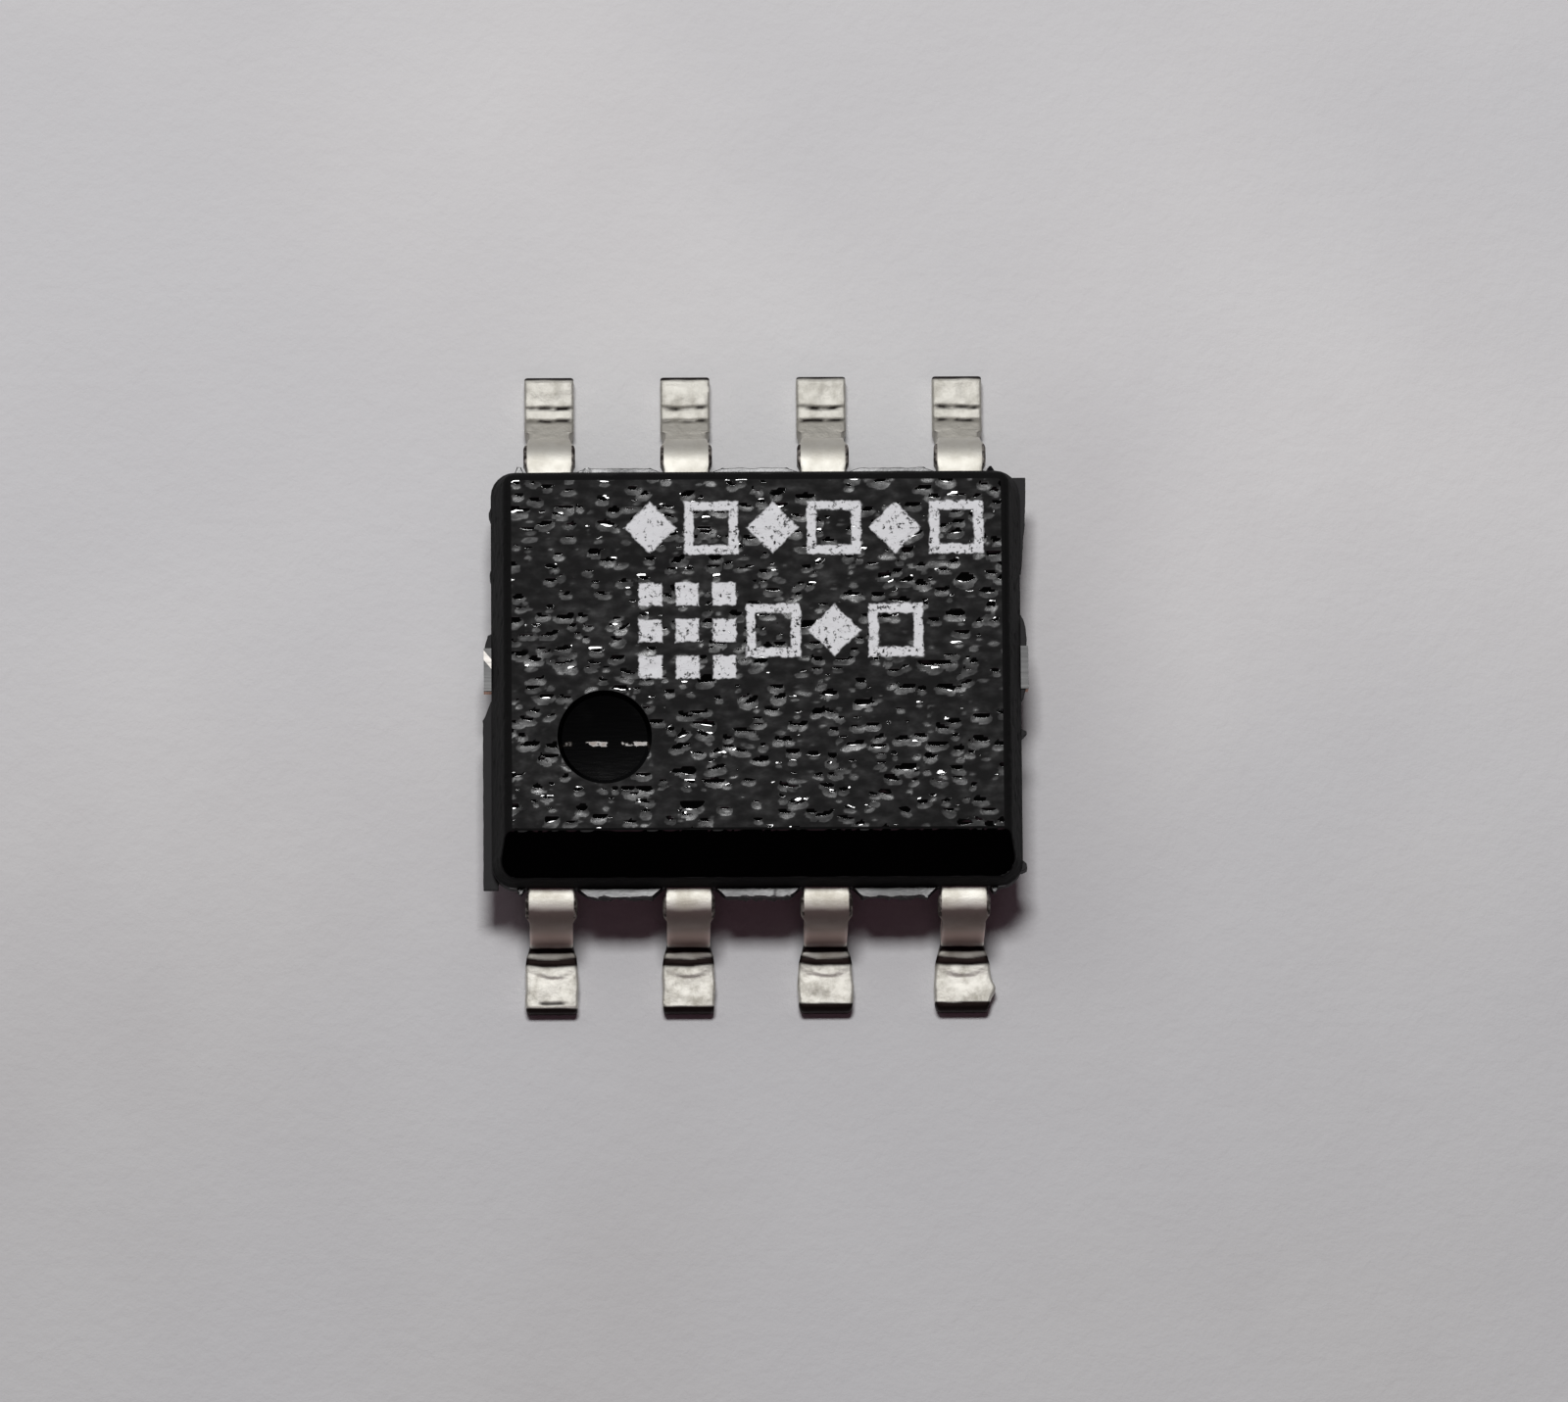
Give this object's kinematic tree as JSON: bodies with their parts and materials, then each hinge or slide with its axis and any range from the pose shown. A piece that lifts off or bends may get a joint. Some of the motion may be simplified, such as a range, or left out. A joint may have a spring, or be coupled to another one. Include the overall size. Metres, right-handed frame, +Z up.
{
  "type": "small-outline eeprom chip",
  "caption": "Surface-mount memory chip: a black moulded body with an index dimple and bevel, gull-wing leads on both long sides, and the die, paddle and bond wires inside.",
  "frame": {"origin": "middle of the footprint, on the seating plane that the soles of the leads rest on", "axes": "+X along the body from lead 1 to the last lead of its row, +Y across from the side of lead 1 to the other row, +Z up out of the top face"},
  "size_m": [0.005, 0.006, 0.0016],
  "materials": {
    "moulding_compound": "fine eroded texture on top, polished in the dimple and on the bevel",
    "tinned_lead": "tin-lead plated copper alloy, dull satin with old solder on the feet",
    "paddle_copper": "bare rolled copper alloy",
    "silver_glue": "silver-filled epoxy",
    "silicon": "polished die with a fine grid of circuit blocks",
    "gold_wire": "drawn gold"
  },
  "bodies": {
    "root": {"moulded_body": "moulding_compound", "die_paddle": "paddle_copper", "die_attach": "silver_glue", "silicon_die": "silicon", "lead_1": "tinned_lead", "lead_2": "tinned_lead", "lead_3": "tinned_lead", "lead_4": "tinned_lead", "lead_5": "tinned_lead", "lead_6": "tinned_lead", "lead_7": "tinned_lead", "lead_8": "tinned_lead", "bond_wire_1": "gold_wire", "bond_wire_2": "gold_wire", "bond_wire_3": "gold_wire", "bond_wire_4": "gold_wire", "bond_wire_5": "gold_wire", "bond_wire_6": "gold_wire", "bond_wire_7": "gold_wire", "bond_wire_8": "gold_wire"}
  },
  "joints": []
}
